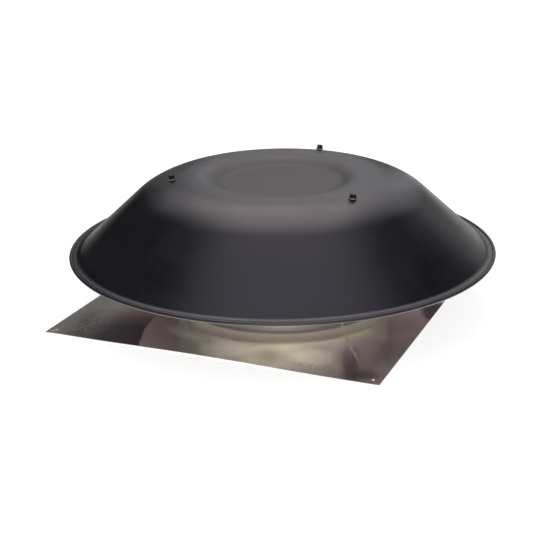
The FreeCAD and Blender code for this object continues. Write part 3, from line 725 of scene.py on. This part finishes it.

# %% [markdown]
# ## Mill finish aluminium
# The flashing is bare sheet as it left the rolling mill: a grain of fine lines along the rolling
# direction, soft waves that bend reflections and grey smudges from handling. Anisotropic gloss
# would streak the reflections too, but would show no single line. So the grain is a noise stretched
# along X by a Mapping node. Real rolling lines are finer than a pixel, and these are drawn almost a
# millimetre wide to show.
#
# Larger marks are a list of ovals, laid one over another. A dull ring round the collar is painted
# pale as a highlight, and the collar's foot darker as shade. Fields along the front are painted
# reflections, darker and brighter, and one pale streak is a painted highlight. A slow noise bends
# their outlines, a fine one breaks some into specks, and marks on the flat stay on its upper face.
#
# The hood's inside is the same metal, greyed by overspray from its painted face. The straps are
# duller cut strip, and the rivets brighter drawn wire.

# %% Mill finish aluminium
GRAIN_WIDTH = 0.9
GRAIN_LENGTH = 60.0
SMUDGE_SIZE = 55.0
WAVE_SIZE = 120.0
WAVE_HEIGHT = 3.0
DRAWN_FROM = 5.0
DRAWN_FULL = 14.0
WOBBLE_SIZE = 30.0
WOBBLE_REACH = 8.0
SPECK_SIZE = 4.0
LOOKS_UP = 0.5


def oval(metal, place, middle, reach, turn, edge):
    """A mask that is 1 inside an oval and fades to 0 at its outline. Lengths are in millimetres."""
    laid = add_node(metal, "ShaderNodeMapping", {
        "Vector": place, "Location": Vector((*middle, 0)) * MM,
        "Rotation": (0, 0, math.radians(turn)), "Scale": Vector(reach) * MM},
        vector_type="TEXTURE").outputs["Vector"]
    inside = add_node(metal, "ShaderNodeTexGradient", {"Vector": laid}, gradient_type="SPHERICAL")
    mask = add_node(metal, "ShaderNodeMapRange", {
        "Value": inside.outputs["Fac"], "From Max": edge}, interpolation_type="SMOOTHSTEP")
    return mask.outputs["Result"]


def make_aluminium(name, pale, dull, smooth, rough, drawn_rough, grain_strength, marks=()):
    """Rolled aluminium: grain along X, smudges and slow waves, and duller where it was drawn up."""
    metal, shader = new_material(name, {"Metallic": 1.0})
    coordinates = add_node(metal, "ShaderNodeTexCoord").outputs
    place = coordinates["Object"]
    along = add_node(metal, "ShaderNodeMapping", {
        "Vector": place, "Scale": (per_mm(GRAIN_LENGTH), per_mm(GRAIN_WIDTH), per_mm(GRAIN_WIDTH))})
    grain = add_node(metal, "ShaderNodeTexNoise", {
        "Vector": along.outputs["Vector"], "Scale": 1.0, "Detail": 3.0}).outputs["Fac"]
    smudge = add_node(metal, "ShaderNodeTexNoise", {
        "Vector": place, "Scale": per_mm(SMUDGE_SIZE), "Detail": 4.0,
        "Roughness": 0.6}).outputs["Fac"]
    waves = add_node(metal, "ShaderNodeTexNoise", {
        "Vector": place, "Scale": per_mm(WAVE_SIZE), "Detail": 1.0}).outputs["Fac"]
    tone = add_node(
        metal, "ShaderNodeValToRGB", {"Fac": smudge}, {0.35: dull, 0.65: pale}).outputs["Color"]
    gloss = add_node(metal, "ShaderNodeMapRange", {
        "Value": smudge, "From Min": 0.3, "From Max": 0.7, "To Min": rough, "To Max": smooth})
    height = add_node(metal, "ShaderNodeSeparateXYZ", {"Vector": place}).outputs["Z"]
    roughness = add_node(metal, "ShaderNodeMapRange", {
        "Value": height, "From Min": DRAWN_FROM * MM, "From Max": DRAWN_FULL * MM,
        "To Min": gloss.outputs["Result"], "To Max": drawn_rough}).outputs["Result"]
    slow = add_node(metal, "ShaderNodeBump", {
        "Height": waves, "Strength": 0.35, "Distance": WAVE_HEIGHT * MM})
    fine = add_node(metal, "ShaderNodeBump", {
        "Height": grain, "Strength": grain_strength, "Distance": 0.05 * MM,
        "Normal": slow.outputs["Normal"]})
    wobble = add_node(metal, "ShaderNodeTexNoise", {
        "Vector": place, "Scale": per_mm(WOBBLE_SIZE), "Detail": 3.0}).outputs["Color"]
    uneven = add_node(metal, "ShaderNodeVectorMath", {
        0: wobble, 1: (WOBBLE_REACH * MM,) * 3, 2: place},
        operation="MULTIPLY_ADD").outputs["Vector"]
    specks = add_node(metal, "ShaderNodeTexNoise", {
        "Vector": place, "Scale": per_mm(SPECK_SIZE), "Detail": 3.0,
        "Roughness": 0.6}).outputs["Fac"]
    broken = add_node(metal, "ShaderNodeMapRange", {
        "Value": specks, "From Min": 0.5, "From Max": 0.7}).outputs["Result"]
    slope = add_node(metal, "ShaderNodeSeparateXYZ", {"Vector": coordinates["Normal"]}).outputs["Z"]
    upper = add_node(metal, "ShaderNodeMapRange", {
        "Value": slope, "From Max": LOOKS_UP}).outputs["Result"]
    # Each mark mixes in its colour: most are painted highlights, painted shade and painted
    # reflections, and the speckled ones are smudges.
    for middle, reach, turn, edge, smudge_and_painted_light, dulled, speckled in marks:
        on_sheet = any(middle)
        mask = oval(metal, uneven if on_sheet else place, middle, reach, turn, edge)
        for limit in [upper] * on_sheet + [broken] * speckled:
            mask = add_node(
                metal, "ShaderNodeMath", {0: mask, 1: limit}, operation="MULTIPLY").outputs["Value"]
        tone = add_node(metal, "ShaderNodeMixRGB", {
            "Fac": mask, "Color1": tone, "Color2": colour(smudge_and_painted_light)}).outputs["Color"]
        roughness = add_node(metal, "ShaderNodeMapRange", {
            "Value": mask, "To Min": roughness, "To Max": dulled}).outputs["Result"]
    plug_in(metal, shader, {
        "Base Color": tone, "Roughness": roughness, "Normal": fine.outputs["Normal"]})
    return metal


# %% [markdown]
# ## Marks of the sheet
# Each mark has its middle on plan, its reach in X, Y and Z, its turn in degrees, its softness, its
# colour, its roughness, and whether it breaks into specks. The first two are the pale ring round
# the collar, a painted highlight, and the collar's darker foot, painted shade. Then come fields of
# painted reflection along the front from left to right, the pale streak, which is a painted
# highlight, and three speckled patches.

# %% Marks of the sheet
SHEET_MARKS_AND_PAINTED_LIGHT = [
    # Pale ring round the collar, a painted highlight where the hood shades the sheet.
    ((0, 0), (184, 184, 36), 0, 0.12, "#f8f4e9", 0.65, False),
    # Darker foot of the collar, painted shade.
    ((0, 0), (158.5, 158.5, 60), 0, 0.015, "#8c8981", 0.6, False),
    # Fields along the front from left to right, painted reflections.
    ((-136, -226), (112, 150, 80), 22.5, 0.75, "#545256", 0.2, False),
    ((-77, -216), (36, 140, 80), 22.5, 0.12, "#dcd6d2", 0.17, False),
    ((-52, -184), (70, 22, 80), -23, 1.0, "#fffdf5", 0.5, False),
    ((8, -216), (44, 34, 80), 0, 0.6, "#fdfaf0", 0.1, False),
    ((72, -208), (30, 36, 80), 22.5, 1.0, "#b4af9f", 0.2, False),
    ((130, -192), (36, 36, 80), 0, 0.6, "#fdfaf0", 0.1, False),
    ((184, -160), (44, 80, 80), 10, 0.45, "#cabec1", 0.17, False),
    ((208, -220), (30, 26, 80), 0, 0.8, "#988c91", 0.2, False),
    ((236, 18), (28, 52, 80), 18, 0.4, "#68676c", 0.2, False),
    # Pale streak, a painted highlight.
    ((157, -134), (84, 3.4, 80), -59, 0.7, "#fdfbf2", 0.6, False),
    # Three speckled patches.
    ((208, -132), (18, 34, 80), 10, 0.7, "#7d797b", 0.35, True),
    ((130, -219), (44, 9, 80), 4, 0.7, "#8f8c85", 0.35, True),
    ((-206, -196), (44, 56, 80), 22.5, 0.9, "#dcd4d2", 0.33, True),
]

# %% Four aluminium finishes
sheet_metal = make_aluminium(
    "mill_finish_rolled_aluminium", "#e8e5d8", "#d6d0ce", smooth=0.13, rough=0.22,
    drawn_rough=0.6, grain_strength=0.2, marks=SHEET_MARKS_AND_PAINTED_LIGHT)
strap_metal = make_aluminium(
    "mill_finish_strap_aluminium", "#c4c2be", "#b2b0ad", smooth=0.24, rough=0.34,
    drawn_rough=0.34, grain_strength=0.35)
rivet_metal = make_aluminium(
    "drawn_rivet_aluminium", "#cccbc8", "#bcbab7", smooth=0.2, rough=0.3,
    drawn_rough=0.3, grain_strength=0.2)
inside_metal = make_aluminium(
    "overspray_inside_dome", "#aa9da2", "#94898e", smooth=0.35, rough=0.45,
    drawn_rough=0.45, grain_strength=0.2)

# %% [markdown]
# ## Galvanised, plated and rubber finishes
# Hot-dip zinc on the wire crystallises into spangles, which Voronoi cells imitate. Bright zinc
# plate on the nuts is finer and smoother. The screws are blackened steel, which keeps a dark metal
# sheen. The washers are EPDM rubber, dull and greyed by the bloom that weather draws out of it.
# Plain colours would look like plastic, so each finish runs between two close tones. Its grains are
# drawn coarser than real ones, or they would not show.

# %% Small finishes


def make_speckled(name, light, dark, grain, metallic, rough, cells=False):
    """A finish of two close colours in fine grains or crystal cells."""
    finish, shader = new_material(name, {"Metallic": metallic, "Roughness": rough})
    place = add_node(finish, "ShaderNodeTexCoord").outputs["Object"]
    kind = "ShaderNodeTexVoronoi" if cells else "ShaderNodeTexNoise"
    pattern = add_node(finish, kind, {"Vector": place, "Scale": per_mm(grain)})
    source = pattern.outputs["Distance" if cells else "Fac"]
    tint = add_node(finish, "ShaderNodeValToRGB", {"Fac": source}, {0.3: dark, 0.7: light})
    bump = add_node(finish, "ShaderNodeBump", {
        "Height": source, "Strength": 0.2, "Distance": 0.05 * MM})
    plug_in(finish, shader, {
        "Base Color": tint.outputs["Color"], "Normal": bump.outputs["Normal"]})
    return finish


wire_zinc = make_speckled(
    "hot_dip_galvanised_wire", "#a9acae", "#8c9093", grain=1.5, metallic=1.0, rough=0.38,
    cells=True)
nut_zinc = make_speckled(
    "zinc_plated_steel", "#c2c2bc", "#a8a8a3", grain=0.6, metallic=1.0, rough=0.28)
screw_black = make_speckled(
    "black_oxide_screw", "#47474b", "#2c2c30", grain=0.8, metallic=1.0, rough=0.3)
washer_black = make_speckled(
    "epdm_rubber", "#8a888a", "#727072", grain=0.5, metallic=0.0, rough=0.5)

# %% [markdown]
# ## Which piece gets which finish
# The record names a material slot for every node. New pieces and CAD nodes alike take the finish of
# their slot, so no piece is left with a flat imported colour. The hood has a second material, which
# its Solidify modifier puts on the inner wall.

# %% Paint every piece
FINISHES = {
    "black_painted_dome": paint,
    "mill_aluminium": sheet_metal,
    "leg_aluminium": strap_metal,
    "rivet_aluminium": rivet_metal,
    "galvanised_wire": wire_zinc,
    "zinc_plated_steel": nut_zinc,
    "black_screw": screw_black,
    "washer_rubber": washer_black,
}
NODE_SLOTS = {"leg": "leg_aluminium", "nut": "zinc_plated_steel", "screen_ring": "mill_aluminium"}

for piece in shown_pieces():
    own_slot = piece.get("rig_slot")
    for start, slot_name in NODE_SLOTS.items():
        if piece.name.startswith(start) and own_slot is None:
            own_slot = slot_name
    piece.data.materials.clear()
    piece.data.materials.append(FINISHES[own_slot])
    if piece is dome:
        piece.data.materials.append(inside_metal)
    print(piece.name, "is", FINISHES[own_slot].name)

# %% [markdown]
# ## Camera
# The photograph was taken from a little above the rim and slightly to the right of the flashing's
# front. Blender's camera looks down its own -Z, so it is first turned to the target, then nudged by
# the small yaw, pitch and roll that put the vent where it stands in the frame.

# %% Camera
CAMERA_AZIMUTH = math.radians(22.46)
CAMERA_ELEVATION = math.radians(18.62)
CAMERA_DISTANCE = 1.7944
FOCAL_LENGTH = 82.2
CAMERA_YAW = math.radians(0.572)
CAMERA_PITCH = math.radians(1.147)
CAMERA_ROLL = math.radians(0.66)

target = Vector((0, 0, BEAD_HEIGHT * MM))
level = Vector((math.sin(CAMERA_AZIMUTH), -math.cos(CAMERA_AZIMUTH), 0))
back = level * math.cos(CAMERA_ELEVATION) + Vector((0, 0, math.sin(CAMERA_ELEVATION)))
camera = bpy.data.objects.new("camera", bpy.data.cameras.new("camera"))
bpy.context.scene.collection.objects.link(camera)
camera.data.lens = FOCAL_LENGTH
camera.data.clip_end = 50
camera.matrix_world = (
    Matrix.Translation(target + back * CAMERA_DISTANCE)
    @ Euler((math.pi / 2 - CAMERA_ELEVATION, 0, CAMERA_AZIMUTH)).to_matrix().to_4x4()
    @ Matrix.Rotation(CAMERA_YAW, 4, "Y") @ Matrix.Rotation(-CAMERA_PITCH, 4, "X")
    @ Matrix.Rotation(-CAMERA_ROLL, 4, "Z"))
bpy.context.scene.camera = camera
print("camera at", [round(place, 3) for place in camera.matrix_world.translation], "m")

# %% [markdown]
# ## White studio
# The world is white where the camera, a reflection or a refraction sees it, and a plain grey where
# it lights diffuse surfaces, so the background is white without more light on the vent. The floor
# does the same and still takes the vent's soft shadow.

# %% World and floor finish
AMBIENT = 0.45
FLOOR_SIZE = 12.0
FLOOR_GLOW = 0.78
FLOOR_DROP = 0.0002


def seen_directly(material):
    """1 where a ray comes from the camera or a mirror-like bounce, and 0 for the rest."""
    rays = add_node(material, "ShaderNodeLightPath").outputs
    camera_or_gloss = add_node(material, "ShaderNodeMath", {
        0: rays["Is Camera Ray"], 1: rays["Is Glossy Ray"]}, operation="MAXIMUM").outputs["Value"]
    return add_node(material, "ShaderNodeMath", {
        0: camera_or_gloss, 1: rays["Is Transmission Ray"]}, operation="MAXIMUM").outputs["Value"]


world = bpy.data.worlds.new("white_studio")
bpy.context.scene.world = world
world.use_nodes = True
background = world.node_tree.nodes["Background"]
background.inputs["Color"].default_value = (1, 1, 1, 1)
strength = add_node(world, "ShaderNodeMapRange", {
    "Value": seen_directly(world), "To Min": AMBIENT, "To Max": 1.0}).outputs["Result"]
plug_in(world, background, {"Strength": strength})

floor_finish, shader = new_material("pale_studio_floor", {
    "Base Color": colour("#cfcfcf"), "Roughness": 1.0, "Specular IOR Level": 0.0,
    "Emission Color": (1, 1, 1, 1)})
glow = add_node(floor_finish, "ShaderNodeMapRange", {
    "Value": seen_directly(floor_finish), "To Min": 0.0, "To Max": FLOOR_GLOW}).outputs["Result"]
plug_in(floor_finish, shader, {"Emission Strength": glow})

# %% Floor
bm = bmesh.new()
bmesh.ops.create_grid(bm, x_segments=1, y_segments=1, size=FLOOR_SIZE / 2)
floor_mesh = bpy.data.meshes.new("studio_floor")
bm.to_mesh(floor_mesh)
bm.free()
floor = bpy.data.objects.new("studio_floor", floor_mesh)
floor.location.z = -FLOOR_DROP
bpy.context.scene.collection.objects.link(floor)
floor.data.materials.append(floor_finish)
print("floor", FLOOR_SIZE, "m square")

# %% [markdown]
# ## Softbox
# A photographer lights black gloss by what it mirrors. One large soft lamp hangs over and behind
# the hood and draws the pale shoulder on its crest and the far slope of its dish.

# %% Hang a lamp
right = Vector((math.cos(CAMERA_AZIMUTH), math.sin(CAMERA_AZIMUTH), 0))
away = -level


def hang_lamp(name, side, elevation, distance, aim, width, depth, power, tint):
    """A soft area lamp that looks at a point from one side, and that the camera doesn't see."""
    toward = side * math.cos(elevation) + Vector((0, 0, math.sin(elevation)))
    lamp = bpy.data.objects.new(name, bpy.data.lights.new(name, "AREA"))
    lamp.data.shape = "RECTANGLE"
    lamp.data.size = width
    lamp.data.size_y = depth
    lamp.data.energy = power
    lamp.data.color = colour(tint)[:3]
    lamp.location = aim + toward * distance
    lamp.rotation_euler = toward.to_track_quat("Z", "Y").to_euler()
    lamp.visible_camera = False
    bpy.context.scene.collection.objects.link(lamp)
    print(name, width, "by", depth, "m,", power, "W")


# %% Softbox
hang_lamp(
    "softbox", away, elevation=math.radians(67), distance=2.6, aim=at_height(CREST_TOP),
    width=2.1, depth=2.25, power=33.0, tint="#ffeedf")

# %% [markdown]
# ## Front lamp
# A lamp low in front brings up the skirt that faces the camera. It shines in under the rim too, and
# lights the collar that the bare sheet mirrors.

# %% Front lamp
hang_lamp(
    "front_lamp", level, elevation=math.radians(10), distance=2.4, aim=at_height(0),
    width=1.3, depth=0.8, power=13.5, tint="#fffaee")

# %% [markdown]
# ## Cards
# A white room would turn the whole hood grey. Cards stand round the vent, and only reflections see
# them: dark ones at the sides shape the flanks, and grey and dim ones behind tone the rim's far
# side. The last leans over the sheet's left corner, which mirrors it.

# %% Cards
CARD_BLACK = 0.0
CARD_GREY = 0.45
CARD_DIM = 0.2
CARD_DARK = 0.05


def add_card(name, start, end, foot_height, height, brightness, lean=0.0):
    """A card between two points in metres right and away. Its top may lean to the right."""
    finish, shader = new_material(name, {
        "Base Color": colour("#050505"), "Roughness": 1.0, "Specular IOR Level": 0.0,
        "Emission Color": (1, 1, 1, 1), "Emission Strength": brightness})
    up = Vector((0, 0, foot_height))
    points = [right * start[0] + away * start[1] + up, right * end[0] + away * end[1] + up]
    bm = bmesh.new()
    foot = [bm.verts.new(point) for point in points]
    edge = bm.edges.new(foot)
    raised = bmesh.ops.extrude_edge_only(bm, edges=[edge])
    top = [item for item in raised["geom"] if isinstance(item, bmesh.types.BMVert)]
    bmesh.ops.translate(bm, vec=right * lean + Vector((0, 0, height)), verts=top)
    mesh = bpy.data.meshes.new(name)
    bm.to_mesh(mesh)
    bm.free()
    card = bpy.data.objects.new(name, mesh)
    card.data.materials.append(finish)
    card.visible_camera = False
    card.visible_diffuse = False
    card.visible_shadow = False
    bpy.context.scene.collection.objects.link(card)
    print(name, "from", start, "to", end, "m")


add_card("card_right_front", (1.1, -1.5), (1.1, -0.1), 0.5, 1.1, CARD_BLACK)
add_card("card_right", (1.1, -0.1), (1.1, 0.92), 0.0, 1.9, CARD_DARK / 2)
add_card("card_left_front", (-1.1, -1.5), (-1.1, -0.1), 0.5, 1.2, CARD_BLACK)
add_card("card_left", (-1.1, -0.1), (-1.1, 1.1), 0.0, 2.0, CARD_DARK)
add_card("card_left_end", (-1.1, 1.1), (-0.7, 1.51), 0.0, 1.0, CARD_BLACK)
add_card("card_back_left_low", (-0.7, 1.51), (-0.25, 1.75), 0.0, 0.72, CARD_DIM)
add_card("card_back_left_high", (-0.7, 1.51), (-0.25, 1.75), 0.72, 0.25, CARD_BLACK)
add_card("card_back", (-0.25, 1.76), (0.3, 1.76), 0.0, 0.66, CARD_GREY)
add_card("card_back_right", (0.3, 1.76), (0.56, 1.76), 0.0, 0.62, CARD_BLACK)
add_card("card_right_end", (0.85, 1.76), (1.5, 1.76), 0.2, 0.55, CARD_BLACK)
add_card("card_left_foot", (-0.42, -0.5), (-0.42, 0.2), 0.005, 0.03, CARD_BLACK, lean=-0.68)

# %% [markdown]
# ## View transform
# The view transform is Standard, so a colour renders as it is written.

# %% View transform
bpy.context.scene.view_settings.view_transform = "Standard"
